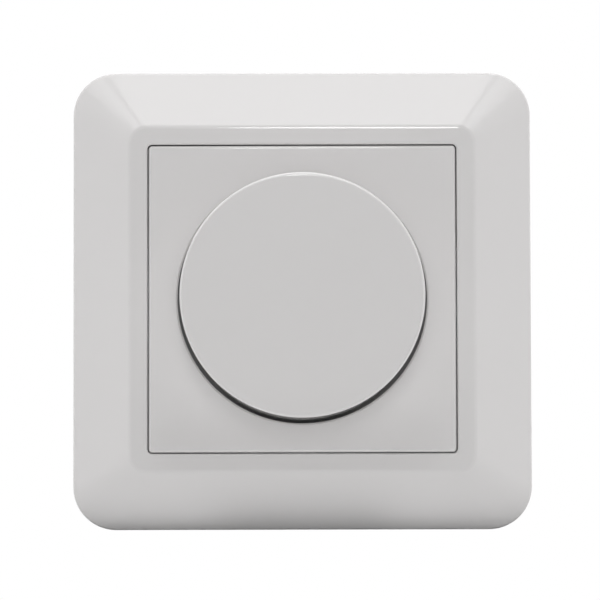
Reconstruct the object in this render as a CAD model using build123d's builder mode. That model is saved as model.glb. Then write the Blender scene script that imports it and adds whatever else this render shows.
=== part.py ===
from build123d import *
import os
from math import cos, radians, sin, sqrt

os.makedirs("parts", exist_ok=True)

# Rotary dimmer for a flush wall box. Millimetres.
# The wall is the plane y = 0, the front looks along -Y and +Z is up.
# A height is measured from the wall: positive into the room, negative into the wall box.

# Cover frame
frame_size = 82.0
frame_corner = 7.7
frame_side = 4.0
frame_wall = 2.0
frame_side_edge = 0.5
ring_width = 3.2
ring_corner = 3.0
ring_edge = 1.5
opening_lip = 0.25
face_height = 9.5
collar_wall = 1.6
ledge_reach = 1.0
ledge_thickness = 1.2
rib_thickness = 1.2
rib_offset = 19.0
notch_width = 19.6
notch_height = 4.4

# Centre plate
plate_size = 54.7
plate_corner = 0.65
plate_gap = 0.2
plate_thickness = 2.0
plate_edge = 0.5
skirt_wall = 1.4
recess_diameter = 44.4
recess_lip = 0.3
recess_floor = 5.0
floor_thickness = 1.6
cup_wall = 1.3

# Knob
knob_diameter = 43.1
knob_draft = 0.2
knob_proud = 11.3
knob_edge = 0.6
knob_wall = 1.8
knob_top = 2.0
knob_rib_count = 8
knob_rib_thickness = 1.0
knob_rib_depth = 5.0
hub_diameter = 10.0
press_travel = 1.2
knob_foot_clearance = 0.5

# Shaft, its bush and nut
shaft_diameter = 6.0
shaft_flat = 1.5
shaft_fit = 0.05
shaft_tip_gap = 0.4
shaft_collar_diameter = 8.0
shaft_collar_thickness = 1.1
shaft_tip_chamfer = 0.4
clip_thickness = 0.35
clip_play = 0.07
clip_width = 3.6
clip_length = 6.0
bush_diameter = 10.0
bush_flange_thickness = 1.0
bush_reach = 7.6
bush_hole_play = 0.1
bush_chamfer = 0.5
nut_across_flats = 14.0
nut_thickness = 1.8
nut_chamfer = 0.3
thread_play = 0.05

# Support plate
support_gap = 3.5
support_corner = 5.0
support_thickness = 1.2
box_screw_spacing = 60.0
slot_width = 3.8
slot_length = 4.4

# Housing and its lid
housing_width = 44.0
housing_height = 49.0
housing_corner = 4.0
housing_round = 54.0
housing_depth = 30.0
housing_wall = 1.6
housing_chamfer = 1.0
lid_thickness = 2.0
lid_play = 0.1
boss_inset_x = 4.8
boss_inset_z = 8.0
boss_diameter = 4.4
post_inset_x = 8.0
post_inset_z = 12.5
post_diameter = 3.0
screw_diameter = 2.2
screw_head_diameter = 4.2
screw_head_height = 1.3
screw_length = 9.0
driver_slot = 0.7
vent_count = 5
vent_pitch = 3.0
vent_width = 1.4
vent_length = 7.0
vent_inset = 9.0

# Potentiometer and push switch
pot_diameter = 19.6
pot_depth = 7.0
pot_wall = 0.9
pot_rear_wall = 1.0
track_thickness = 0.8
track_layer = 0.15
track_inner_radius = 5.2
track_outer_radius = 6.8
terminal_pitch = 5.0
lead_width = 1.2
lead_thickness = 0.4
lead_reach = 12.2
rotor_radius = 7.3
rotor_thickness = 1.4
rotor_hub_radius = 4.4
switch_size = 15.0
switch_depth = 8.0
switch_wall = 1.0
chamber_size = 7.2
plunger_play = 0.1
plunger_depth = 2.3
plunger_chamfer = 0.4
spring_diameter = 4.4
spring_wire = 0.5
spring_turns = 4
bridge_length = 11.6
bridge_width = 3.2
bridge_thickness = 0.4
contact_gap = 0.05

# Circuit board and what it carries
board_thickness = 1.6
board_play = 0.2
board_margin = 0.4
part_chamfer = 0.6
film_width = 14.0
film_depth = 6.0
film_height = 12.0
film_x = -3.5
can_diameter = 6.3
can_height = 11.0
can_x = 15.4
can_below_boss = 6.5
can_groove = 0.3
fuse_diameter = 8.2
fuse_height = 7.6
fuse_x = 9.6
choke_outer_radius = 5.9
choke_inner_radius = 3.0
choke_height = 4.6
choke_wire = 0.7
choke_turns = 14
chip_length = 8.7
chip_width = 3.9
chip_height = 1.5
chip_leg_count = 7
chip_leg_pitch = 1.27
chip_leg_width = 0.4
chip_leg_reach = 1.1
chip_leg_thickness = 0.3
chip_z = 7.0
transistor_width = 7.8
transistor_length = 11.0
transistor_thickness = 2.8
transistor_x = 15.0
transistor_leg_pitch = 2.3
transistor_leg_width = 0.7
transistor_leg_thickness = 0.5
transistor_leg_reach = 2.0
lid_window_play = 0.4
pad_thickness = 0.2
pad_border = 0.3
rivet_diameter = 3.0
rivet_head_diameter = 5.4
rivet_head_height = 1.0
trimmer_x = 11.0
trimmer_z = 5.0
trimmer_size = 6.4
trimmer_height = 3.6
trimmer_rotor_diameter = 4.0
trimmer_access = 5.0

# Wire terminals
wire_pitch = 6.5
wire_hole = 3.2
wire_funnel = 0.6
block_width = 21.0
block_height = 10.0
block_play = 0.2
cage_width = 4.6
cage_depth = 5.6
cage_height = 5.4
cage_play = 0.1
clamp_gap = 0.6
terminal_screw_diameter = 3.0
terminal_head_diameter = 3.9
terminal_head_height = 1.8
screwdriver_hole = 4.2

# Claws
claw_screw_x = 24.2
claw_screw_z = 6.5
claw_screw_diameter = 2.6
claw_head_diameter = 4.6
claw_head_height = 1.7
claw_screw_length = 22.0
claw_sheet = 0.8
claw_width = 7.0
claw_length = 18.0
claw_foot = 1.0
claw_tooth = 0.7
claw_tooth_count = 3
claw_tab_depth = 7.0
claw_tab_width = 6.0
claw_hang = 0.4
claw_nut_size = 4.0
claw_nut_thickness = 2.0
claw_nut_depth = 9.6

# Places worked out from the sizes above
opening_size = plate_size + 2 * plate_gap
opening_corner = plate_corner + plate_gap
ring_size = opening_size + 2 * ring_width
support_size = frame_size - 2 * frame_wall - 2 * support_gap
ledge_height = support_thickness + ledge_thickness
recess_radius = recess_diameter / 2
plate_underside = face_height - plate_thickness
knob_face = face_height + knob_proud
knob_radius = knob_diameter / 2
knob_foot = recess_floor + press_travel + knob_foot_clearance
knob_inside = knob_face - knob_top
shaft_radius = shaft_diameter / 2
shaft_tip = knob_inside - shaft_tip_gap
clip_gap = clip_thickness + 2 * clip_play
bush_radius = bush_diameter / 2
bush_hole_radius = bush_radius + bush_hole_play
bush_foot = -lid_thickness - bush_flange_thickness
hub_foot = bush_reach + press_travel + knob_foot_clearance + clip_thickness
pot_rear = bush_foot - pot_depth
pot_inside = pot_rear + pot_rear_wall
track_top = pot_inside + track_thickness
rotor_foot = track_top + track_layer + lead_thickness
collar_top = bush_foot - shaft_fit * 4
shaft_end = pot_rear - switch_wall - plunger_play
plunger_foot = shaft_end - plunger_depth
switch_rear = pot_rear - switch_depth
chamber_floor = switch_rear + switch_wall
board_front = switch_rear
board_rear = board_front - board_thickness
block_depth = housing_depth + board_rear
cage_room = cage_width + 2 * cage_play
cage_room_depth = cage_depth + 2 * cage_play
terminal_height = -housing_depth + (block_depth - cage_room_depth) / 2 + cage_room_depth / 2
boss_x = housing_width / 2 - boss_inset_x
boss_reach = housing_round / 2 - housing_wall - screw_diameter / 2
boss_z = min(housing_height / 2 - boss_inset_z, sqrt(boss_reach**2 - boss_x**2))
post_x = housing_width / 2 - post_inset_x
post_z = housing_height / 2 - post_inset_z
vent_z = housing_height / 2 - vent_inset
board_edge = housing_height / 2 - housing_wall - board_play - board_margin
board_reach = housing_round / 2 - housing_wall - board_play - board_margin
film_reach = sqrt(board_reach**2 - (film_width / 2 - film_x) ** 2)
film_z = min(board_edge - fuse_diameter / 2, film_reach - film_depth / 2)
fuse_reach = board_reach - fuse_diameter / 2
fuse_z = min(board_edge - fuse_diameter / 2, sqrt(fuse_reach**2 - fuse_x**2))
choke_z = choke_outer_radius - board_edge
can_z = boss_z - can_below_boss
housing_flat = housing_height / 2 - housing_wall - block_play
inner_round = housing_round / 2 - housing_wall - block_play
block_foot = -min(housing_flat, sqrt(inner_round**2 - (block_width / 2) ** 2))
cage_foot = block_foot + terminal_head_height + clamp_gap
wire_z = cage_foot + cage_height * 0.6
claw_strip_x = claw_screw_x + claw_nut_size / 2 + block_play
leg_top = -lid_thickness - pad_border
boss_places = [(-boss_x, boss_z), (boss_x, -boss_z)]
claw_places = [(-claw_screw_x, -claw_screw_z), (claw_screw_x, claw_screw_z)]


def facing(height):
    """The plane parallel to the wall at this height, looking out into the room."""
    return Plane(origin=(0, -height, 0), x_dir=(1, 0, 0), z_dir=(0, -1, 0))


def rising(level):
    """The level plane at this z, with the wall behind its far side."""
    return Plane(origin=(0, 0, level), x_dir=(1, 0, 0), z_dir=(0, 0, 1))


# The plane in which turned pieces are drawn: x is the radius and y is the height.
turning = Plane(origin=(0, 0, 0), x_dir=(1, 0, 0), z_dir=(0, 0, -1))


def insert_outline(inset):
    """Outline of the housing, drawn smaller by the inset: a round with four flats."""
    RectangleRounded(housing_width - 2 * inset, housing_height - 2 * inset, housing_corner)
    Circle(housing_round / 2 - inset, mode=Mode.INTERSECT)


def flatted_round(radius, flat):
    """A round with one flat on its right, for the shaft and what grips it."""
    Circle(radius)
    with Locations((flat - 2 * radius, 0)):
        Rectangle(4 * radius, 4 * radius, mode=Mode.INTERSECT, align=(Align.CENTER, Align.CENTER))


def save(part, name):
    part.label = name
    export_step(part, f"parts/{name}.step")


# Cover frame: the room inside its shell, with the collar and ribs left standing
with BuildPart() as frame_room:
    with BuildSketch(facing(0)):
        side = frame_size - 2 * frame_wall
        RectangleRounded(side, side, frame_corner - frame_wall)
    extrude(amount=frame_side - frame_wall / 2)
    with BuildSketch(facing(frame_side - frame_wall / 2)):
        RectangleRounded(side, side, frame_corner - frame_wall)
    with BuildSketch(facing(face_height - frame_wall)):
        top_side = ring_size - frame_wall
        RectangleRounded(top_side, top_side, ring_corner - frame_wall / 2)
    loft(ruled=True)
    with BuildSketch(facing(support_thickness)):
        Rectangle(opening_size + 2 * collar_wall, opening_size + 2 * collar_wall)
    extrude(amount=face_height, mode=Mode.SUBTRACT)
    with BuildSketch(facing(2 * support_thickness)):
        with PolarLocations(frame_size / 2, 4):
            with Locations((0, -rib_offset), (0, rib_offset)):
                Rectangle(frame_size / 2, rib_thickness)
    extrude(amount=face_height, mode=Mode.SUBTRACT)

# Cover frame: a moulded shell with a sloped rim round a raised flat ring
with BuildPart() as cover_frame:
    with BuildSketch(facing(0)):
        RectangleRounded(frame_size, frame_size, frame_corner)
    extrude(amount=frame_side)
    with BuildSketch(facing(frame_side)):
        RectangleRounded(frame_size, frame_size, frame_corner)
    with BuildSketch(facing(face_height)):
        RectangleRounded(ring_size, ring_size, ring_corner)
    loft(ruled=True)
    fillet(cover_frame.faces().sort_by(Axis.Y)[0].edges(), ring_edge)
    fillet(cover_frame.edges().filter_by_position(Axis.Y, -frame_side, -frame_side), frame_side_edge)
    add(frame_room.part, mode=Mode.SUBTRACT)
    with BuildSketch(facing(ledge_height)):
        RectangleRounded(opening_size, opening_size, opening_corner)
    extrude(amount=face_height, mode=Mode.SUBTRACT)
    chamfer(cover_frame.faces().sort_by(Axis.Y)[0].inner_wires()[0].edges(), opening_lip)
    with BuildSketch(facing(0)):
        Rectangle(opening_size - 2 * ledge_reach, opening_size - 2 * ledge_reach)
    extrude(amount=ledge_height, mode=Mode.SUBTRACT)
    with BuildSketch(facing(0)):
        with PolarLocations(opening_size / 2, 4):
            Rectangle(4 * collar_wall, notch_width)
    extrude(amount=notch_height, mode=Mode.SUBTRACT)
save(cover_frame.part, "cover_frame")

# Centre plate: a square dish whose skirt clamps the frame's ledge on the support plate
with BuildPart() as centre_plate:
    with BuildSketch(facing(ledge_height)):
        RectangleRounded(plate_size, plate_size, plate_corner)
    extrude(amount=face_height - ledge_height)
    fillet(centre_plate.faces().sort_by(Axis.Y)[0].edges(), plate_edge)
    with BuildSketch(facing(ledge_height)):
        Rectangle(plate_size - 2 * skirt_wall, plate_size - 2 * skirt_wall)
        Circle(recess_radius + cup_wall, mode=Mode.SUBTRACT)
        with PolarLocations(plate_size / 2, 4, start_angle=45):
            Rectangle(plate_size, rib_thickness, mode=Mode.SUBTRACT)
    extrude(amount=plate_underside - ledge_height, mode=Mode.SUBTRACT)
    with BuildSketch(facing(ledge_height)):
        Rectangle(plate_size - 2 * skirt_wall, plate_size - 2 * skirt_wall)
    extrude(amount=recess_floor - floor_thickness - ledge_height, mode=Mode.SUBTRACT)
    with BuildSketch(facing(recess_floor)):
        Circle(recess_radius)
    extrude(amount=face_height, mode=Mode.SUBTRACT)
    chamfer(centre_plate.faces().sort_by(Axis.Y)[0].inner_wires()[0].edges(), recess_lip)
    with BuildSketch(facing(0)):
        Circle(bush_hole_radius)
        with PolarLocations(plate_size / 2, 4):
            Rectangle(4 * skirt_wall, notch_width)
    extrude(amount=notch_height, mode=Mode.SUBTRACT)
    with BuildSketch(facing(0)):
        Circle(bush_hole_radius)
    extrude(amount=face_height, mode=Mode.SUBTRACT)
save(centre_plate.part, "centre_plate")

# Knob: a turned-looking cap with a flat face, a hub and stiffening ribs inside
with BuildPart() as knob:
    with BuildSketch(turning):
        with BuildLine():
            Polyline(
                (0, knob_face),
                (knob_radius, knob_face),
                (knob_radius + knob_draft, knob_foot),
                (knob_radius + knob_draft - knob_wall, knob_foot),
                (knob_radius - knob_wall, knob_inside),
                (0, knob_inside),
                close=True,
            )
        make_face()
    revolve(axis=Axis.Y)
    fillet(knob.faces().sort_by(Axis.Y)[0].edges(), knob_edge)
    with BuildSketch(facing(knob_inside - knob_rib_depth)):
        with PolarLocations(knob_radius / 2, knob_rib_count, start_angle=180 / knob_rib_count):
            Rectangle(knob_radius - knob_wall, knob_rib_thickness)
    extrude(amount=knob_rib_depth + knob_top / 2)
    with BuildSketch(facing(hub_foot)):
        Circle(hub_diameter / 2)
    extrude(amount=knob_inside - hub_foot)
    with BuildSketch(facing(hub_foot)):
        flatted_round(shaft_radius + shaft_fit, shaft_flat + clip_gap)
    extrude(amount=knob_inside - hub_foot, mode=Mode.SUBTRACT)
save(knob.part, "knob")

# Spring clip: a leaf between the shaft's flat and the hub, with a foot bent under the hub
with BuildPart() as knob_spring_clip:
    leaf_x = shaft_flat + clip_play + clip_thickness / 2
    with BuildSketch(facing(hub_foot - clip_play)):
        with Locations((leaf_x, 0)):
            Rectangle(clip_thickness, clip_width)
    extrude(amount=clip_length)
    with BuildSketch(facing(hub_foot - clip_play - clip_thickness)):
        with Locations((leaf_x - clip_thickness / 2, 0)):
            Rectangle(clip_width / 2, clip_width, align=(Align.MIN, Align.CENTER))
    extrude(amount=clip_thickness)
save(knob_spring_clip.part, "knob_spring_clip")

# Control shaft: turned steel, a flat at each end and a collar that stops it coming out
with BuildPart() as control_shaft:
    with BuildSketch(facing(shaft_end)):
        Circle(shaft_radius)
    extrude(amount=shaft_tip - shaft_end)
    with BuildSketch(facing(collar_top - shaft_collar_thickness)):
        Circle(shaft_collar_diameter / 2)
    extrude(amount=shaft_collar_thickness)
    flat_start = bush_reach + press_travel
    collar_foot = collar_top - shaft_collar_thickness
    for low, high in ((shaft_end, collar_foot), (flat_start, shaft_tip)):
        with BuildSketch(facing(low)):
            with Locations((shaft_flat, 0)):
                Rectangle(shaft_radius, shaft_diameter, align=(Align.MIN, Align.CENTER))
        extrude(amount=high - low, mode=Mode.SUBTRACT)
    chamfer(control_shaft.faces().sort_by(Axis.Y)[0].edges(), shaft_tip_chamfer)
save(control_shaft.part, "control_shaft")

# Threaded bush: turned brass, its flange closes the potentiometer
with BuildPart() as threaded_bush:
    with BuildSketch(turning):
        with BuildLine():
            Polyline(
                (shaft_radius + shaft_fit, bush_foot),
                (pot_diameter / 2, bush_foot),
                (pot_diameter / 2, -lid_thickness),
                (bush_radius, -lid_thickness),
                (bush_radius, bush_reach - bush_chamfer),
                (bush_radius - bush_chamfer, bush_reach),
                (shaft_radius + shaft_fit, bush_reach),
                close=True,
            )
        make_face()
    revolve(axis=Axis.Y)
save(threaded_bush.part, "threaded_bush")

# Axle nut: clamps the centre plate's floor
with BuildPart() as axle_nut:
    with BuildSketch(facing(recess_floor)):
        RegularPolygon(nut_across_flats / 2, 6, major_radius=False)
        Circle(bush_radius + thread_play, mode=Mode.SUBTRACT)
    extrude(amount=nut_thickness)
    chamfer(axle_nut.faces().sort_by(Axis.Y)[0].outer_wire().edges(), nut_chamfer)
save(axle_nut.part, "axle_nut")

# Potentiometer case: a round cup with a window at the top for its terminals
with BuildPart() as potentiometer_case:
    with BuildSketch(facing(pot_rear)):
        Circle(pot_diameter / 2)
    extrude(amount=pot_depth)
    with BuildSketch(facing(pot_inside)):
        Circle(pot_diameter / 2 - pot_wall)
    extrude(amount=pot_depth, mode=Mode.SUBTRACT)
    with BuildSketch(facing(pot_rear)):
        Circle(shaft_radius + 6 * shaft_fit)
    extrude(amount=pot_rear_wall, mode=Mode.SUBTRACT)
    with BuildSketch(facing(track_top - lead_thickness)):
        with Locations((0, pot_diameter / 2)):
            Rectangle(2 * terminal_pitch + 2 * lead_width, pot_diameter / 2)
    extrude(amount=3 * lead_thickness, mode=Mode.SUBTRACT)
save(potentiometer_case.part, "potentiometer_case")

# Resistive track: a phenolic disc with a raised carbon horseshoe
with BuildPart() as resistive_track:
    with BuildSketch(facing(pot_inside)):
        Circle(pot_diameter / 2 - pot_wall - shaft_fit)
        Circle(rotor_hub_radius, mode=Mode.SUBTRACT)
    extrude(amount=track_thickness)
    with BuildSketch(facing(track_top)):
        Circle(track_outer_radius)
        Circle(track_inner_radius, mode=Mode.SUBTRACT)
        with Locations((0, track_outer_radius)):
            Rectangle(track_inner_radius, track_outer_radius, mode=Mode.SUBTRACT)
    extrude(amount=track_layer)
save(resistive_track.part, "resistive_track")

# Potentiometer terminals: three strips from the track to the circuit board
with BuildPart() as potentiometer_terminals:
    with BuildSketch(facing(track_top)):
        with GridLocations(terminal_pitch, 1, 3, 1):
            with Locations((0, rotor_radius + lead_thickness)):
                Rectangle(lead_width, lead_reach - rotor_radius - lead_thickness,
                          align=(Align.CENTER, Align.MIN))
    extrude(amount=lead_thickness)
    with BuildSketch(facing(board_front)):
        with GridLocations(terminal_pitch, 1, 3, 1):
            with Locations((0, lead_reach)):
                Rectangle(lead_width, lead_thickness, align=(Align.CENTER, Align.MAX))
    extrude(amount=track_top - board_front)
save(potentiometer_terminals.part, "potentiometer_terminals")

# Wiper rotor: a keyed disc with the finger that runs on the track
with BuildPart() as wiper_rotor:
    with BuildSketch(facing(rotor_foot)):
        Circle(rotor_radius)
    extrude(amount=rotor_thickness)
    with BuildSketch(facing(rotor_foot)):
        Circle(rotor_hub_radius - 3 * shaft_fit)
    extrude(amount=-lead_thickness)
    with BuildSketch(facing(track_top + track_layer + shaft_fit)):
        with PolarLocations((track_inner_radius + track_outer_radius) / 2, 1, start_angle=45):
            Rectangle(lead_width, lead_width)
    extrude(amount=rotor_foot - track_top - track_layer - shaft_fit)
    with BuildSketch(facing(rotor_foot - lead_thickness)):
        flatted_round(shaft_radius + shaft_fit, shaft_flat + shaft_fit)
    extrude(amount=rotor_thickness + lead_thickness, mode=Mode.SUBTRACT)
save(wiper_rotor.part, "wiper_rotor")

# Switch case: a block with a chamber for the plunger and side rooms for the contacts
with BuildPart() as switch_case:
    with BuildSketch(facing(switch_rear)):
        RectangleRounded(switch_size, switch_size, switch_wall)
    extrude(amount=switch_depth)
    with BuildSketch(facing(chamber_floor)):
        Rectangle(chamber_size, chamber_size)
        Rectangle(bridge_length + 4 * plunger_play, bridge_width + 4 * plunger_play)
    extrude(amount=switch_depth - 2 * switch_wall, mode=Mode.SUBTRACT)
    with BuildSketch(facing(chamber_floor)):
        Circle(shaft_radius + 6 * shaft_fit)
    extrude(amount=switch_depth, mode=Mode.SUBTRACT)
save(switch_case.part, "switch_case")

# Switch plunger: the shaft's end pushes it, the spring sits in its cup
with BuildPart() as switch_plunger:
    with BuildSketch(facing(plunger_foot)):
        Rectangle(chamber_size - 2 * plunger_play, chamber_size - 2 * plunger_play)
    extrude(amount=plunger_depth)
    chamfer(switch_plunger.edges().filter_by(Axis.Y), plunger_chamfer)
    with BuildSketch(facing(plunger_foot)):
        Circle(spring_diameter / 2 + 2 * plunger_play)
    extrude(amount=plunger_depth / 2, mode=Mode.SUBTRACT)
save(switch_plunger.part, "switch_plunger")

# Switch bridge: the moving contact strip under the plunger
with BuildPart() as switch_bridge:
    with BuildSketch(facing(plunger_foot - bridge_thickness)):
        Rectangle(bridge_length, bridge_width)
        Circle(chamber_size / 2 - 2 * plunger_play)
        Circle(spring_diameter / 2 + 2 * plunger_play, mode=Mode.SUBTRACT)
    extrude(amount=bridge_thickness)
save(switch_bridge.part, "switch_bridge")

# Switch contacts: two fixed blades that the bridge meets when the knob is pushed home
with BuildPart() as switch_contacts:
    blade_top = plunger_foot - bridge_thickness - press_travel - contact_gap
    with BuildSketch(facing(chamber_floor)):
        with GridLocations(bridge_length - bridge_thickness, 1, 2, 1):
            Rectangle(bridge_thickness, bridge_width)
    extrude(amount=blade_top - chamber_floor)
save(switch_contacts.part, "switch_contacts")

# Return spring: a wire coil between the plunger's cup and the chamber floor
spring_foot = chamber_floor + spring_wire / 2
spring_top = plunger_foot + plunger_depth / 2 - spring_wire / 2
spring_radius = (spring_diameter - spring_wire) / 2
with BuildPart() as return_spring:
    with BuildLine() as coil:
        Helix(
            (spring_top - spring_foot) / spring_turns,
            spring_top - spring_foot,
            spring_radius,
            center=(0, -spring_foot, 0),
            direction=(0, -1, 0),
        )
    with BuildSketch(Plane(origin=coil.line @ 0, z_dir=coil.line % 0)):
        RegularPolygon(spring_wire / 2, 4)
    sweep(is_frenet=True)
save(return_spring.part, "return_spring")

# Support plate: stamped steel, screwed to the wall box, and the transistors' heat sink
with BuildPart() as support_plate:
    with BuildSketch(facing(0)):
        RectangleRounded(support_size, support_size, support_corner)
        Circle(bush_hole_radius, mode=Mode.SUBTRACT)
        with Locations((-box_screw_spacing / 2, 0), (box_screw_spacing / 2, 0)):
            SlotOverall(slot_length, slot_width, mode=Mode.SUBTRACT)
        with Locations((0, -box_screw_spacing / 2), (0, box_screw_spacing / 2)):
            SlotOverall(slot_length, slot_width, rotation=90, mode=Mode.SUBTRACT)
        with Locations(*claw_places):
            Circle(claw_screw_diameter / 2 + block_play, mode=Mode.SUBTRACT)
        with Locations(*boss_places):
            Circle(screw_diameter / 2 + block_play, mode=Mode.SUBTRACT)
        with GridLocations(2 * transistor_x, 1, 2, 1):
            Circle(rivet_diameter / 2 + thread_play, mode=Mode.SUBTRACT)
    extrude(amount=support_thickness)
save(support_plate.part, "support_plate")

# Front cover: the housing's plastic lid, with a window for each transistor
with BuildPart() as front_cover:
    with BuildSketch(facing(-lid_thickness)):
        insert_outline(housing_wall + lid_play)
        Circle(bush_hole_radius, mode=Mode.SUBTRACT)
        with GridLocations(2 * transistor_x, 1, 2, 1):
            Rectangle(transistor_width + 2 * lid_window_play,
                      transistor_length + 2 * lid_window_play, mode=Mode.SUBTRACT)
        with Locations(*boss_places):
            Circle(screw_diameter / 2 + block_play, mode=Mode.SUBTRACT)
    extrude(amount=lid_thickness)
save(front_cover.part, "front_cover")

# Housing: a deep moulded cup with screw bosses, board posts, vents and terminal openings
with BuildPart() as housing:
    with BuildSketch(facing(-housing_depth)):
        insert_outline(0)
    extrude(amount=housing_depth)
    chamfer(housing.faces().sort_by(Axis.Y)[-1].edges(), housing_chamfer)
    with BuildSketch(facing(-housing_depth + housing_wall)):
        insert_outline(housing_wall)
        with Locations(*boss_places):
            Circle(boss_diameter / 2, mode=Mode.SUBTRACT)
    extrude(amount=housing_depth - housing_wall - lid_thickness, mode=Mode.SUBTRACT)
    with BuildSketch(facing(-lid_thickness)):
        insert_outline(housing_wall)
    extrude(amount=lid_thickness, mode=Mode.SUBTRACT)
    with BuildSketch(facing(-lid_thickness)):
        with Locations(*boss_places):
            Circle(screw_diameter / 2)
    extrude(amount=-screw_length, mode=Mode.SUBTRACT)
    with BuildSketch(facing(-housing_depth + housing_wall)):
        with GridLocations(2 * post_x, 1, 2, 1):
            with Locations((0, post_z)):
                Circle(post_diameter / 2)
    extrude(amount=housing_depth - housing_wall + board_rear)
    with BuildSketch(facing(-housing_depth)):
        with Locations((0, block_foot + block_height / 2)):
            Rectangle(block_width + 2 * block_play, block_height + 2 * block_play)
        with Locations((trimmer_x, trimmer_z)):
            Circle(trimmer_access / 2)
        with Locations((0, vent_z)):
            with GridLocations(vent_pitch, 1, vent_count, 1):
                Rectangle(vent_width, vent_length)
    extrude(amount=housing_wall, mode=Mode.SUBTRACT)
    with BuildSketch(rising(-housing_height / 2)):
        with Locations((0, -terminal_height)):
            with GridLocations(wire_pitch, 1, 3, 1):
                Circle(screwdriver_hole / 2)
    extrude(amount=housing_height / 2 + block_foot, mode=Mode.SUBTRACT)
save(housing.part, "housing")

# Housing screws: two self-tapping screws from the front of the support plate
with BuildPart() as housing_screws:
    with BuildSketch(facing(support_thickness)):
        with Locations(*boss_places):
            Circle(screw_head_diameter / 2)
    extrude(amount=screw_head_height)
    with BuildSketch(facing(support_thickness)):
        with Locations(*boss_places):
            Circle(screw_diameter / 2 - thread_play)
    extrude(amount=-screw_length)
    with BuildSketch(facing(support_thickness + screw_head_height)):
        with Locations(*boss_places):
            Rectangle(screw_head_diameter, driver_slot)
    extrude(amount=-screw_head_height / 2, mode=Mode.SUBTRACT)
save(housing_screws.part, "housing_screws")

# Circuit board: glass-epoxy, cut round the housing's bosses
with BuildPart() as circuit_board:
    with BuildSketch(facing(board_rear)):
        insert_outline(housing_wall + board_play)
        with Locations(*boss_places):
            Circle(boss_diameter / 2 + board_play, mode=Mode.SUBTRACT)
    extrude(amount=board_thickness)
save(circuit_board.part, "circuit_board")

# Film capacitor: a rounded block that stands on the board
with BuildPart() as film_capacitor:
    with BuildSketch(facing(board_front)):
        with Locations((film_x, film_z)):
            Rectangle(film_width, film_depth)
    extrude(amount=film_height)
    chamfer(film_capacitor.edges().filter_by(Axis.Y), part_chamfer)
save(film_capacitor.part, "film_capacitor")

# Electrolytic capacitor: an aluminium can with a rolled groove near its foot
with BuildPart() as electrolytic_capacitor:
    with BuildSketch(facing(board_front)):
        with Locations((can_x, can_z)):
            Circle(can_diameter / 2)
    extrude(amount=can_height)
    with BuildSketch(facing(board_front + can_diameter / 4)):
        with Locations((can_x, can_z)):
            Circle(can_diameter / 2)
            Circle(can_diameter / 2 - can_groove, mode=Mode.SUBTRACT)
    extrude(amount=2 * can_groove, mode=Mode.SUBTRACT)
save(electrolytic_capacitor.part, "electrolytic_capacitor")

# Fuse: a round radial fuse
with BuildPart() as fuse:
    with BuildSketch(facing(board_front)):
        with Locations((fuse_x, fuse_z)):
            Circle(fuse_diameter / 2)
    extrude(amount=fuse_height)
    chamfer(fuse.faces().sort_by(Axis.Y)[0].edges(), part_chamfer)
save(fuse.part, "fuse")

# Choke core: a ferrite ring that lies on the board
with BuildPart() as choke_core:
    with BuildSketch(facing(board_front + choke_wire)):
        with Locations((0, choke_z)):
            Circle(choke_outer_radius - choke_wire - thread_play)
            Circle(choke_inner_radius + choke_wire + thread_play, mode=Mode.SUBTRACT)
    extrude(amount=choke_height - 2 * choke_wire)
save(choke_core.part, "choke_core")

# Choke winding: square loops of wire round the core, one for each turn
with BuildPart() as choke_winding:
    choke_middle = (choke_outer_radius + choke_inner_radius) / 2
    choke_band = choke_outer_radius - choke_inner_radius
    for turn in range(choke_turns):
        angle = 360 * (turn + 0.5) / choke_turns
        across = Vector(cos(radians(angle)), 0, sin(radians(angle)))
        middle = Vector(0, 0, choke_z) + across * choke_middle
        middle.Y = -(board_front + choke_height / 2)
        around = Plane(origin=middle, x_dir=across, z_dir=across.cross(Vector(0, -1, 0)))
        with BuildSketch(around):
            Rectangle(choke_band, choke_height)
            Rectangle(choke_band - 2 * choke_wire, choke_height - 2 * choke_wire, mode=Mode.SUBTRACT)
        extrude(amount=choke_wire / 2, both=True)
save(choke_winding.part, "choke_winding")

# Controller chip: a small moulded body with bent legs, on the board's rear
with BuildPart() as controller_chip:
    with BuildSketch(facing(board_rear - chip_leg_thickness / 2)):
        with Locations((0, chip_z)):
            Rectangle(chip_length, chip_width)
    extrude(amount=-chip_height)
    with BuildSketch(facing(board_rear)):
        with Locations((0, chip_z)):
            with GridLocations(chip_leg_pitch, 1, chip_leg_count, 1):
                Rectangle(chip_leg_width, chip_width + 2 * chip_leg_reach)
    extrude(amount=-chip_leg_thickness)
save(controller_chip.part, "controller_chip")

# Power transistors: flat packages against the support plate, three legs down to the board
transistor_top = -pad_thickness
for name, place in (("transistor_left", -transistor_x), ("transistor_right", transistor_x)):
    with BuildPart() as transistor:
        with BuildSketch(facing(transistor_top)):
            with Locations((place, 0)):
                Rectangle(transistor_width, transistor_length)
                Circle(rivet_diameter / 2 + thread_play, mode=Mode.SUBTRACT)
        extrude(amount=-transistor_thickness)
        with BuildSketch(facing(leg_top)):
            with Locations((place, -transistor_length / 2)):
                with GridLocations(transistor_leg_pitch, 1, 3, 1):
                    Rectangle(transistor_leg_width, transistor_leg_reach,
                              align=(Align.CENTER, Align.MAX))
        extrude(amount=-transistor_leg_thickness)
        with BuildSketch(facing(leg_top - transistor_leg_thickness)):
            with Locations((place, -transistor_length / 2 - transistor_leg_reach)):
                with GridLocations(transistor_leg_pitch, 1, 3, 1):
                    Rectangle(transistor_leg_width, transistor_leg_thickness,
                              align=(Align.CENTER, Align.MIN))
        extrude(amount=board_front - leg_top + transistor_leg_thickness)
    save(transistor.part, name)

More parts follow.
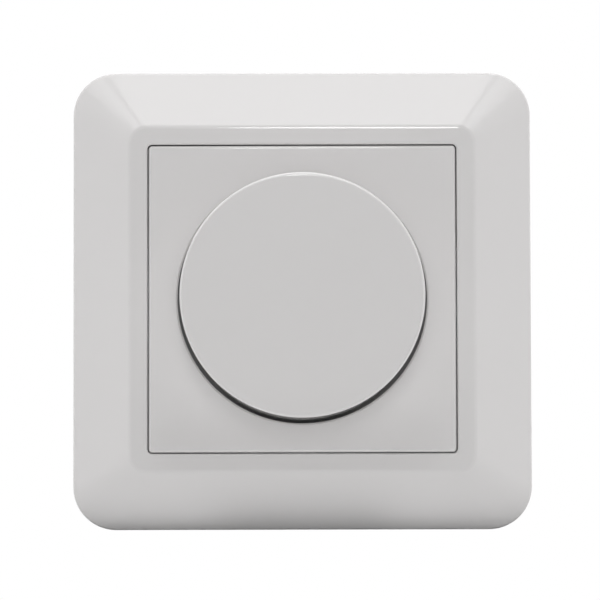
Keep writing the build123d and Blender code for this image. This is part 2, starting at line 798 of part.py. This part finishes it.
# Thermal pads: thin insulating sheets between the transistors and the steel
with BuildPart() as thermal_pads:
    with BuildSketch(facing(transistor_top)):
        with GridLocations(2 * transistor_x, 1, 2, 1):
            Rectangle(transistor_width + 2 * pad_border, transistor_length + 2 * pad_border)
            Circle(rivet_diameter / 2 + thread_play, mode=Mode.SUBTRACT)
    extrude(amount=pad_thickness)
save(thermal_pads.part, "thermal_pads")

# Transistor rivets: one through each package, headed on both sides
with BuildPart() as transistor_rivets:
    rivet_low = transistor_top - transistor_thickness
    with BuildSketch(facing(rivet_low)):
        with GridLocations(2 * transistor_x, 1, 2, 1):
            Circle(rivet_diameter / 2)
    extrude(amount=support_thickness - rivet_low)
    for height, thickness in ((support_thickness, rivet_head_height), (rivet_low, -rivet_head_height)):
        with BuildSketch(facing(height)):
            with GridLocations(2 * transistor_x, 1, 2, 1):
                Circle(rivet_head_diameter / 2)
        extrude(amount=thickness)
save(transistor_rivets.part, "transistor_rivets")

# Trimmer: a small square body on the board's rear, its rotor faces the access hole
with BuildPart() as trimmer_body:
    with BuildSketch(facing(board_rear)):
        with Locations((trimmer_x, trimmer_z)):
            Rectangle(trimmer_size, trimmer_size)
    extrude(amount=-trimmer_height)
    with BuildSketch(facing(board_rear - trimmer_height)):
        with Locations((trimmer_x, trimmer_z)):
            Circle(trimmer_rotor_diameter / 2 + thread_play)
    extrude(amount=trimmer_height / 2, mode=Mode.SUBTRACT)
save(trimmer_body.part, "trimmer_body")

with BuildPart() as trimmer_rotor:
    rotor_seat = board_rear - trimmer_height / 2 - thread_play
    with BuildSketch(facing(rotor_seat)):
        with Locations((trimmer_x, trimmer_z)):
            Circle(trimmer_rotor_diameter / 2)
    extrude(amount=-trimmer_height)
    with BuildSketch(facing(rotor_seat - trimmer_height)):
        with Locations((trimmer_x, trimmer_z)):
            Rectangle(trimmer_rotor_diameter * 0.8, driver_slot)
    extrude(amount=trimmer_height / 4, mode=Mode.SUBTRACT)
save(trimmer_rotor.part, "trimmer_rotor")

# Terminal block: three rooms open downwards, each with a wire entry from behind
with BuildPart() as terminal_block:
    with BuildSketch(facing(-housing_depth)):
        with Locations((0, block_foot)):
            Rectangle(block_width, block_height, align=(Align.CENTER, Align.MIN))
    extrude(amount=block_depth)
    with BuildSketch(rising(block_foot)):
        with Locations((0, -terminal_height)):
            with GridLocations(wire_pitch, 1, 3, 1):
                Rectangle(cage_room, cage_room_depth)
    extrude(amount=cage_foot - block_foot + cage_height + cage_play, mode=Mode.SUBTRACT)
    with BuildSketch(facing(-housing_depth)):
        with Locations((0, wire_z)):
            with GridLocations(wire_pitch, 1, 3, 1):
                Circle(wire_hole / 2)
    extrude(amount=block_depth / 2, mode=Mode.SUBTRACT)
    mouths = terminal_block.edges().filter_by(GeomType.CIRCLE).group_by(Axis.Y)[-1]
    chamfer(mouths, wire_funnel)
save(terminal_block.part, "terminal_block")

# Terminal clamps: brass cages with a wire hole and a tapped foot
with BuildPart() as terminal_clamps:
    with BuildSketch(rising(cage_foot)):
        with Locations((0, -terminal_height)):
            with GridLocations(wire_pitch, 1, 3, 1):
                Rectangle(cage_width, cage_depth)
    extrude(amount=cage_height)
    with BuildSketch(rising(cage_foot)):
        with Locations((0, -terminal_height)):
            with GridLocations(wire_pitch, 1, 3, 1):
                Circle(terminal_screw_diameter / 2 + thread_play)
    extrude(amount=cage_height / 2, mode=Mode.SUBTRACT)
    with BuildSketch(facing(terminal_height - cage_depth)):
        with Locations((0, wire_z)):
            with GridLocations(wire_pitch, 1, 3, 1):
                Rectangle(wire_hole, wire_hole)
    extrude(amount=2 * cage_depth, mode=Mode.SUBTRACT)
save(terminal_clamps.part, "terminal_clamps")

# Terminal screws: slotted, driven from below
with BuildPart() as terminal_screws:
    screw_seat = cage_foot - clamp_gap / 2
    with BuildSketch(rising(screw_seat - terminal_head_height)):
        with Locations((0, -terminal_height)):
            with GridLocations(wire_pitch, 1, 3, 1):
                Circle(terminal_head_diameter / 2)
    extrude(amount=terminal_head_height)
    with BuildSketch(rising(screw_seat)):
        with Locations((0, -terminal_height)):
            with GridLocations(wire_pitch, 1, 3, 1):
                Circle(terminal_screw_diameter / 2)
    extrude(amount=wire_z - wire_hole / 2 - screw_seat + clamp_gap / 2)
    with BuildSketch(rising(screw_seat - terminal_head_height)):
        with Locations((0, -terminal_height)):
            with GridLocations(wire_pitch, 1, 3, 1):
                Rectangle(terminal_head_diameter, driver_slot)
    extrude(amount=terminal_head_height / 2, mode=Mode.SUBTRACT)
save(terminal_screws.part, "terminal_screws")

# Claws: bent steel strips that swing out and grip the wall box
with BuildPart() as claw_right:
    with BuildSketch(facing(-claw_hang)):
        with Locations((claw_strip_x, claw_screw_z)):
            Rectangle(claw_sheet, claw_width, align=(Align.MIN, Align.CENTER))
    extrude(amount=-claw_length)
    with BuildSketch(facing(-claw_hang - claw_length)):
        with Locations((claw_strip_x, claw_screw_z)):
            Rectangle(claw_sheet + claw_foot, claw_width, align=(Align.MIN, Align.CENTER))
        with Locations((claw_strip_x + claw_sheet + claw_foot, claw_screw_z)):
            with GridLocations(1, claw_width / claw_tooth_count, 1, claw_tooth_count):
                Rectangle(claw_tooth, claw_tooth, rotation=45, mode=Mode.SUBTRACT)
    extrude(amount=claw_sheet)
    with BuildSketch(facing(-claw_tab_depth)):
        with Locations((claw_strip_x, claw_screw_z)):
            Rectangle(claw_nut_size, claw_tab_width, align=(Align.MAX, Align.CENTER))
        with Locations((claw_screw_x, claw_screw_z)):
            Circle(claw_screw_diameter / 2 + block_play, mode=Mode.SUBTRACT)
            Rectangle(claw_nut_size, claw_screw_diameter + 2 * block_play,
                      align=(Align.MAX, Align.CENTER), mode=Mode.SUBTRACT)
    extrude(amount=-claw_sheet)
save(claw_right.part, "claw_right")

with BuildPart() as claw_left:
    add(claw_right.part, rotation=(0, 180, 0))
save(claw_left.part, "claw_left")

# Claw screws: they hang in the support plate and draw the claws
for name, place in zip(("claw_screw_left", "claw_screw_right"), claw_places):
    with BuildPart() as claw_screw:
        with BuildSketch(facing(support_thickness)):
            with Locations(place):
                Circle(claw_head_diameter / 2)
        extrude(amount=claw_head_height)
        with BuildSketch(facing(support_thickness)):
            with Locations(place):
                Circle(claw_screw_diameter / 2)
        extrude(amount=-claw_screw_length)
        with BuildSketch(facing(support_thickness + claw_head_height)):
            with Locations(place):
                Rectangle(claw_head_diameter, driver_slot)
        extrude(amount=-claw_head_height / 2, mode=Mode.SUBTRACT)
    save(claw_screw.part, name)

# Claw nuts: square, kept from turning by the housing's flats
with BuildPart() as claw_nuts:
    with BuildSketch(facing(-claw_nut_depth)):
        with Locations(*claw_places):
            Rectangle(claw_nut_size, claw_nut_size)
            Circle(claw_screw_diameter / 2 + thread_play, mode=Mode.SUBTRACT)
    extrude(amount=-claw_nut_thickness)
save(claw_nuts.part, "claw_nuts")
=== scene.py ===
import math

import bpy
from mathutils import Matrix, Vector

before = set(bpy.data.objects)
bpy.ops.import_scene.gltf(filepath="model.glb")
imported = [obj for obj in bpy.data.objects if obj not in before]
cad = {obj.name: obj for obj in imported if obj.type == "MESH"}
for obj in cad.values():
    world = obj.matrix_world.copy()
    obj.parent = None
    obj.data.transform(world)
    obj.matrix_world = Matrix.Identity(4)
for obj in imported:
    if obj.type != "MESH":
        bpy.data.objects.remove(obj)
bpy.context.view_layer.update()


# Cover frame: one square shell with a sloped rim round a raised flat ring.
# Injection moulded in white gloss plastic with polished faces, clamped by the centre plate.
COLOUR, NUMBER = "NodeSocketColor", "NodeSocketFloat"


def shader_group(name, inputs, outputs):
    """A shader node group with named sockets, and its input and output nodes."""
    tree = bpy.data.node_groups.new(name, "ShaderNodeTree")
    for label, kind, value in inputs:
        socket = tree.interface.new_socket(name=label, in_out="INPUT", socket_type=kind)
        socket.default_value = value
    for label, kind in outputs:
        tree.interface.new_socket(name=label, in_out="OUTPUT", socket_type=kind)
    return tree, tree.nodes.new("NodeGroupInput"), tree.nodes.new("NodeGroupOutput")


def connect(tree, node, values):
    """Puts numbers and colours, or links from other nodes, on this node's inputs."""
    for name, value in dict(values).items():
        if isinstance(value, bpy.types.NodeSocket):
            tree.links.new(value, node.inputs[name])
        else:
            node.inputs[name].default_value = value


def add_node(tree, kind, settings=(), values=()):
    """A node of this kind with its settings, and with values or links on its inputs."""
    node = tree.nodes.new(kind)
    for name, value in dict(settings).items():
        setattr(node, name, value)
    connect(tree, node, values)
    return node


def maths(tree, operation, *values):
    """One number worked out from numbers or links."""
    settings = {"operation": operation}
    return add_node(tree, "ShaderNodeMath", settings, dict(enumerate(values))).outputs["Value"]


def object_place(tree):
    """The place of each point in the frame that all pieces share."""
    return add_node(tree, "ShaderNodeTexCoord").outputs["Object"]


def noise(tree, place, cells, detail):
    """Soft noise over the piece, from 0 to 1, with this many cells in one metre."""
    values = {"Vector": place, "Scale": cells, "Detail": detail}
    return add_node(tree, "ShaderNodeTexNoise", values=values).outputs["Fac"]


def darken(tree, colour, mask, most):
    """The colour, darker where the mask is high; most is the share that it loses there."""
    left = maths(tree, "SUBTRACT", 1.0, maths(tree, "MULTIPLY", mask, most))
    values = {0: colour, "Scale": left}
    return add_node(tree, "ShaderNodeVectorMath", {"operation": "SCALE"}, values).outputs["Vector"]


moulded, moulded_in, moulded_out = shader_group(
    "moulded_plastic_surface",
    [("Colour", COLOUR, (0.8, 0.8, 0.8, 1)), ("Tone", NUMBER, 0.02), ("Roughness", NUMBER, 0.2),
     ("Roughness Spread", NUMBER, 0.03), ("Grain Size", NUMBER, 0.002)],
    [("Colour", COLOUR), ("Roughness", NUMBER), ("Height", NUMBER)])
wanted = moulded_in.outputs
flow_cells = 45.0
spot = object_place(moulded)
flow = noise(moulded, spot, flow_cells, detail=2.0)
grain = noise(moulded, spot, maths(moulded, "DIVIDE", 1.0, wanted["Grain Size"]), detail=3.0)
connect(moulded, moulded_out, {
    "Colour": darken(moulded, wanted["Colour"], flow, wanted["Tone"]),
    "Roughness": maths(moulded, "MULTIPLY_ADD", grain, wanted["Roughness Spread"],
                       wanted["Roughness"]),
    "Height": grain})


def finish(name, surface, values, bump, shader=()):
    """A material whose colour, roughness and bump, in metres, come from a surface group."""
    material = bpy.data.materials.new(name)
    material.use_nodes = True
    tree = material.node_tree
    principled = tree.nodes["Principled BSDF"]
    group = add_node(tree, "ShaderNodeGroup", {"node_tree": surface}, values).outputs
    relief = add_node(tree, "ShaderNodeBump", values={"Distance": bump, "Height": group["Height"]})
    connect(tree, principled, shader)
    connect(tree, principled, {"Base Color": group["Colour"], "Roughness": group["Roughness"],
                               "Normal": relief.outputs["Normal"]})
    return material


def dress(material, *names):
    """Gives CAD nodes this material."""
    for name in names:
        mesh = cad[name].data
        mesh.materials.clear()
        mesh.materials.append(material)


def white_gloss(name):
    """The polished white plastic of the three pieces that show."""
    values = {"Colour": (0.668, 0.656, 0.654, 1), "Tone": 0.012, "Roughness": 0.06,
              "Roughness Spread": 0.02, "Grain Size": 0.0012}
    return finish(name, moulded, values, bump=2e-6)


white_plastic = white_gloss("white_plastic")
dress(white_plastic, "cover_frame")


# Centre plate: square plate with a round recess that the knob turns in.
# Moulded in the same white as the frame; inside the recess the white is darkened, a painted shade
# for the dark gap round the knob.
recess_radius = 0.0222
recess_blend = 0.0001
dark_from_y, dark_to_y = -0.0093, -0.0088
painted_recess_shade = 0.42


def vector_maths(tree, operation, *values):
    """The outputs of a node that works on vectors, which are given as such or as links."""
    settings = {"operation": operation}
    return add_node(tree, "ShaderNodeVectorMath", settings, dict(enumerate(values))).outputs


def across(tree, place):
    """How a place lies from the knob's axis, as a vector square to the axis."""
    return vector_maths(tree, "MULTIPLY", place, (1, 0, 1))["Vector"]


def ramp(tree, value, start, end, shape="LINEAR"):
    """A step of the value, from 0 at the start to 1 at the end."""
    settings = {"interpolation_type": shape}
    values = {"Value": value, "From Min": start, "From Max": end}
    return add_node(tree, "ShaderNodeMapRange", settings, values).outputs["Result"]


plate_white = white_gloss("plate_white")
plate_tree = plate_white.node_tree
plate_shader = plate_tree.nodes["Principled BSDF"]
plain_white = plate_shader.inputs["Base Color"].links[0].from_socket
spot = object_place(plate_tree)
from_axis = vector_maths(plate_tree, "LENGTH", across(plate_tree, spot))["Value"]
inward = add_node(plate_tree, "ShaderNodeSeparateXYZ", values={"Vector": spot}).outputs["Y"]
# Painted shade: below the plate's face and within the recess the white is darkened, so the gap
# round the knob reads dark.
within = ramp(plate_tree, from_axis, recess_radius + recess_blend, recess_radius)
deep = ramp(plate_tree, inward, dark_from_y, dark_to_y)
inside = maths(plate_tree, "MULTIPLY", within, deep)
connect(plate_tree, plate_shader, {
    "Base Color": darken(plate_tree, plain_white, inside, 1 - painted_recess_shade)})
dress(plate_white, "centre_plate")


# Knob: round moulded cap with a flat polished face, pushed onto the shaft.
# Its wall stands straight here, so that the gap round it is dark as in the photograph.
dress(white_plastic, "knob")

wall_radius = 0.021558
straighten = bpy.data.node_groups.new("straight_knob_wall", "GeometryNodeTree")
for side in ("INPUT", "OUTPUT"):
    straighten.interface.new_socket(name="Geometry", in_out=side,
                                    socket_type="NodeSocketGeometry")
solid = straighten.nodes.new("NodeGroupInput").outputs["Geometry"]
point = add_node(straighten, "GeometryNodeInputPosition").outputs["Position"]
aside = across(straighten, point)
along = vector_maths(straighten, "SUBTRACT", point, aside)["Vector"]
outward = vector_maths(straighten, "NORMALIZE", aside)["Vector"]
reach = vector_maths(straighten, "LENGTH", aside)["Value"]
outside = maths(straighten, "GREATER_THAN", reach, wall_radius)
onto_wall = vector_maths(straighten, "MULTIPLY_ADD", outward, (wall_radius,) * 3, along)["Vector"]
moved = add_node(straighten, "GeometryNodeSetPosition",
                 values={"Geometry": solid, "Selection": outside, "Position": onto_wall})
connect(straighten, straighten.nodes.new("NodeGroupOutput"),
        {"Geometry": moved.outputs["Geometry"]})
cad["knob"].modifiers.new("straight_wall", "NODES").node_group = straighten


# Housing and front cover: the closed box behind the support plate.
# Moulded in fine-grained dark grey technical plastic, and screwed to the support plate.
housing_plastic = finish("housing_plastic", moulded,
                         {"Colour": (0.022, 0.024, 0.026, 1), "Tone": 0.2, "Roughness": 0.42,
                          "Roughness Spread": 0.12, "Grain Size": 0.0005}, bump=2e-5)
dress(housing_plastic, "front_cover", "housing")


# Terminal block, trimmer body and switch plunger: small insulating parts.
# Moulded in matt off-white technical plastic, for wires, the trimmer and the push switch.
block_plastic = finish("block_plastic", moulded,
                       {"Colour": (0.57, 0.57, 0.54, 1), "Tone": 0.05, "Roughness": 0.38,
                        "Roughness Spread": 0.1, "Grain Size": 0.0006}, bump=1e-5)
dress(block_plastic, "switch_plunger", "trimmer_body", "terminal_block")


# Cases of potentiometer and switch, with the fuse, the chip and the two transistors.
# Moulded in matt black plastic; the transistors are riveted to the support plate to stay cool.
black_plastic = finish("black_plastic", moulded,
                       {"Colour": (0.004, 0.004, 0.0045, 1), "Tone": 0.2, "Roughness": 0.4,
                        "Roughness Spread": 0.12, "Grain Size": 0.0005}, bump=1e-5)
dress(black_plastic, "potentiometer_case", "switch_case", "fuse", "controller_chip",
      "transistor_left", "transistor_right")


# Support plate, claws and their screws and nuts, with the other screws and the rivets.
# Stamped or turned from steel and zinc plated; the plate also carries off the heat.
plated, plated_in, plated_out = shader_group(
    "worked_metal_surface",
    [("Colour", COLOUR, (0.6, 0.6, 0.6, 1)), ("Cloud", NUMBER, 0.1), ("Roughness", NUMBER, 0.3),
     ("Brush Size", NUMBER, 0.0004)],
    [("Colour", COLOUR), ("Roughness", NUMBER), ("Height", NUMBER)])
wanted = plated_in.outputs
cloud_cells = 160.0
stroke_length = 10  # in brush sizes
stroke_slimness = 12  # its length over its width
stroke_roughness = 0.15
spot = object_place(plated)
cloud = noise(plated, spot, cloud_cells, detail=4.0)
stretched = add_node(plated, "ShaderNodeMapping",
                     values={"Vector": spot, "Scale": (1, 1, stroke_slimness)}).outputs["Vector"]
stroke_cells = maths(plated, "DIVIDE", 1 / stroke_length, wanted["Brush Size"])
brush = noise(plated, stretched, stroke_cells, detail=3.0)
connect(plated, plated_out, {
    "Colour": darken(plated, wanted["Colour"], cloud, wanted["Cloud"]),
    "Roughness": maths(plated, "MULTIPLY_ADD", brush, stroke_roughness, wanted["Roughness"]),
    "Height": brush})


def metal(name, values, bump):
    """A material of bare or plated metal."""
    return finish(name, plated, values, bump, shader={"Metallic": 1.0})


zinc_steel = metal("zinc_steel", {"Colour": (0.56, 0.57, 0.58, 1), "Cloud": 0.25,
                                  "Roughness": 0.26}, bump=5e-6)
dress(zinc_steel, "support_plate", "housing_screws", "transistor_rivets", "terminal_screws",
      "claw_left", "claw_right", "claw_screw_left", "claw_screw_right", "claw_nuts")


# Control shaft, the clip that grips its flat inside the knob, and the return spring.
# Turned from rod, bent from strip and wound from wire, all of bright steel.
spring_steel = metal("spring_steel", {"Colour": (0.50, 0.50, 0.50, 1), "Cloud": 0.1,
                                      "Roughness": 0.18}, bump=3e-6)
dress(spring_steel, "knob_spring_clip", "control_shaft", "return_spring")


# Threaded bush with its nut, the contacts and terminal strips, and the wire clamps.
# Turned from brass rod, or stamped from brass sheet and bent.
turned_brass = metal("turned_brass", {"Colour": (0.62, 0.44, 0.15, 1), "Cloud": 0.15,
                                      "Roughness": 0.2}, bump=4e-6)
dress(turned_brass, "threaded_bush", "axle_nut", "potentiometer_terminals", "switch_bridge",
      "switch_contacts", "terminal_clamps")


# Choke: a wound ring that keeps the dimmer's interference out of the mains.
# The core is sintered black ferrite, wound with enamelled copper wire.
ferrite = finish("ferrite", moulded, {"Colour": (0.010, 0.010, 0.010, 1), "Tone": 0.3,
                                      "Roughness": 0.55, "Grain Size": 0.0004}, bump=2e-5)
copper_wire = metal("copper_wire", {"Colour": (0.55, 0.16, 0.05, 1), "Cloud": 0.15,
                                    "Roughness": 0.2}, bump=2e-6)
dress(ferrite, "choke_core")
dress(copper_wire, "choke_winding")


# Circuit board, and the track and the rotor of the potentiometer.
# Glass fibre with green solder resist for the board, brown pressed phenolic for the others.
board_green = finish("board_green", moulded, {"Colour": (0.004, 0.040, 0.014, 1), "Tone": 0.3,
                                              "Roughness": 0.3, "Grain Size": 0.002}, bump=1e-5)
phenolic = finish("phenolic", moulded, {"Colour": (0.073, 0.025, 0.008, 1), "Tone": 0.3,
                                        "Roughness": 0.45, "Grain Size": 0.0006}, bump=1e-5)
dress(board_green, "circuit_board")
dress(phenolic, "resistive_track", "wiper_rotor")


# Capacitors, the rotor of the trimmer and the pads under the transistors.
# Film capacitor and rotor are of yellow resin, the can has a shrunk sleeve, pads are silicone.
yellow_plastic = finish("yellow_plastic", moulded,
                        {"Colour": (0.60, 0.34, 0.013, 1), "Tone": 0.1, "Roughness": 0.3,
                         "Grain Size": 0.001}, bump=1e-5)
can_sleeve = finish("can_sleeve", moulded, {"Colour": (0.007, 0.010, 0.033, 1), "Tone": 0.1,
                                            "Roughness": 0.25, "Grain Size": 0.002}, bump=3e-6)
pad_grey = finish("pad_grey", moulded, {"Colour": (0.26, 0.26, 0.29, 1), "Tone": 0.15,
                                        "Roughness": 0.6, "Grain Size": 0.0005}, bump=1e-5)
dress(yellow_plastic, "film_capacitor", "trimmer_rotor")
dress(can_sleeve, "electrolytic_capacitor")
dress(pad_grey, "thermal_pads")


# Floor and dark sheets: a pale studio floor far below, and three sheets that don't show.
# Two are painted shade, dark sheets for the table's shadow where the frame stood, and the third is
# the dark camera it mirrors.
def flat_sheet(name, width, depth, centre, grey):
    """A level sheet of the studio, with a plain matt material."""
    x, y = width / 2, depth / 2
    mesh = bpy.data.meshes.new(name)
    mesh.from_pydata([(-x, -y, 0), (x, -y, 0), (x, y, 0), (-x, y, 0)], [], [(0, 1, 2, 3)])
    sheet = bpy.data.objects.new(name, mesh)
    sheet.location = centre
    bpy.context.scene.collection.objects.link(sheet)
    material = bpy.data.materials.new(name)
    material.use_nodes = True
    connect(material.node_tree, material.node_tree.nodes["Principled BSDF"],
            {"Base Color": (grey, grey, grey, 1), "Roughness": 0.9})
    mesh.materials.append(material)
    return sheet


floor_level = -0.80
near_level, mid_level = -0.0420, -0.0422
sheet_grey = 0.02
flat_sheet("floor", width=8.0, depth=8.0, centre=(0, 0, floor_level), grey=0.8)
# The two low sheets are painted shade: near-black stand-ins for the shadowed table just below the
# frame's bottom edge.
table_shade_near = flat_sheet("table_shade_near_sheet", width=0.090, depth=0.0070,
                        centre=(0, -0.0035, near_level), grey=sheet_grey)
table_shade_mid = flat_sheet("table_shade_mid_sheet", width=0.030, depth=0.002,
                       centre=(0, -0.0085, mid_level), grey=sheet_grey)
camera_sheet = flat_sheet("dark_camera_sheet", width=0.100, depth=0.100,
                          centre=(0, -0.740, -0.046), grey=sheet_grey)
camera_sheet.rotation_euler = (math.pi / 2, 0, 0)
for sheet in (table_shade_near, table_shade_mid):
    sheet.visible_camera = False
    sheet.visible_glossy = False
camera_sheet.visible_camera = False
camera_sheet.visible_diffuse = False
camera_sheet.visible_shadow = False


# White surroundings: a sky that the camera and the polished faces see as plain white.
# Diffuse light comes from a soft disc in front, one behind, and a band round the edge.
world = bpy.data.worlds.new("studio")
bpy.context.scene.world = world
world.use_nodes = True
sky = world.node_tree
toward = add_node(sky, "ShaderNodeTexCoord").outputs["Generated"]
toward_parts = add_node(sky, "ShaderNodeSeparateXYZ", values={"Vector": toward}).outputs


def eased(value, start, end):
    """A smooth step of the value, from 0 at the start to 1 at the end."""
    return ramp(sky, value, start, end, "SMOOTHSTEP")


def soft_disc(way, edge, middle, glow):
    """A round soft light in the sky; edge and middle are the angles in degrees where it eases."""
    toward_it = vector_maths(sky, "DOT_PRODUCT", toward, way)["Value"]
    disc = eased(toward_it, math.cos(math.radians(edge)), math.cos(math.radians(middle)))
    return maths(sky, "MULTIPLY", disc, glow)


def raised(degrees):
    """The way that looks from the object to its front, raised by these degrees."""
    return (0, -math.cos(math.radians(degrees)), math.sin(math.radians(degrees)))


front_glow = soft_disc(raised(3.3), edge=22, middle=8, glow=2.62)
back_glow = soft_disc(raised(160), edge=72, middle=26, glow=0.8)
rim_strength = 2.70
beside = eased(maths(sky, "ABSOLUTE", toward_parts["Y"]), start=0.45, end=0.05)
not_below = eased(toward_parts["Z"], start=-0.5, end=0.2)
rim_glow = maths(sky, "MULTIPLY", maths(sky, "MULTIPLY", beside, not_below), rim_strength)
glow = maths(sky, "ADD", maths(sky, "ADD", front_glow, back_glow), rim_glow)

path = add_node(sky, "ShaderNodeLightPath").outputs
seen = maths(sky, "MAXIMUM", path["Is Transmission Ray"],
             maths(sky, "MAXIMUM", path["Is Camera Ray"], path["Is Glossy Ray"]))
plain_light = 1.0
strength = add_node(sky, "ShaderNodeMix", {"data_type": "FLOAT"},
                    {0: seen, 2: glow, 3: plain_light}).outputs[0]
connect(sky, sky.nodes["Background"], {"Color": (1, 1, 1, 1), "Strength": strength})


# Lamps: three wide soft boxes above, one at each upper corner, and a slim strip in front.
# The boxes light the slopes and corners of the rim, and the strip draws the bright edges.
def soft_lamp(name, way, width, height, glow, distance=1.2):
    """A flat lamp that faces the object from this way; glow is its brightness, white being 1."""
    data = bpy.data.lights.new(name, "AREA")
    data.shape = "RECTANGLE"
    data.size, data.size_y = width, height
    data.energy = glow * math.pi * width * height
    lamp = bpy.data.objects.new(name, data)
    lamp.location = Vector(way).normalized() * distance
    lamp.rotation_euler = (-lamp.location).to_track_quat("-Z", "Y").to_euler()
    bpy.context.scene.collection.objects.link(lamp)


soft_lamp("overhead", raised(96), width=0.69, height=0.34, glow=3.3)
soft_lamp("slope_lamp", raised(66), width=0.95, height=0.28, glow=1.45)
soft_lamp("high_front", raised(50), width=1.30, height=0.25, glow=0.36)
for name, side in (("left_corner", -0.50), ("right_corner", 0.50)):
    soft_lamp(name, (side, -0.47, 0.70), width=0.50, height=0.40, glow=0.9)
soft_lamp("key", (0.004, -0.947, 0.330), width=0.07, height=0.37, glow=12.0, distance=1.0)


# Camera: a long lens a little below the object's middle, as the photograph was taken.
# Its place, lens and slight turns are fitted to the outline of the frame in the photograph.
camera_distance = 0.7247
camera_lens = 241.27
camera_below = math.radians(3.658)
camera_aside = math.radians(0.157)
camera_roll = math.radians(-0.142)
aim = Vector((-0.00038, 0, 0.00035))
ahead = Vector((math.sin(camera_aside) * math.cos(camera_below),
                math.cos(camera_aside) * math.cos(camera_below), math.sin(camera_below)))
right = ahead.cross(Vector((0, 0, 1))).normalized()
up = right.cross(ahead)
roll = Matrix.Rotation(-camera_roll, 3, ahead)
place = Matrix((roll @ right, roll @ up, -ahead)).transposed().to_4x4()
place.translation = aim - camera_distance * ahead
camera_data = bpy.data.cameras.new("camera")
camera_data.lens = camera_lens
camera_data.sensor_width = 36
camera_data.clip_start = 0.01
camera = bpy.data.objects.new("camera", camera_data)
camera.matrix_world = place
bpy.context.scene.collection.objects.link(camera)
bpy.context.scene.camera = camera
bpy.context.scene.view_settings.view_transform = "Standard"
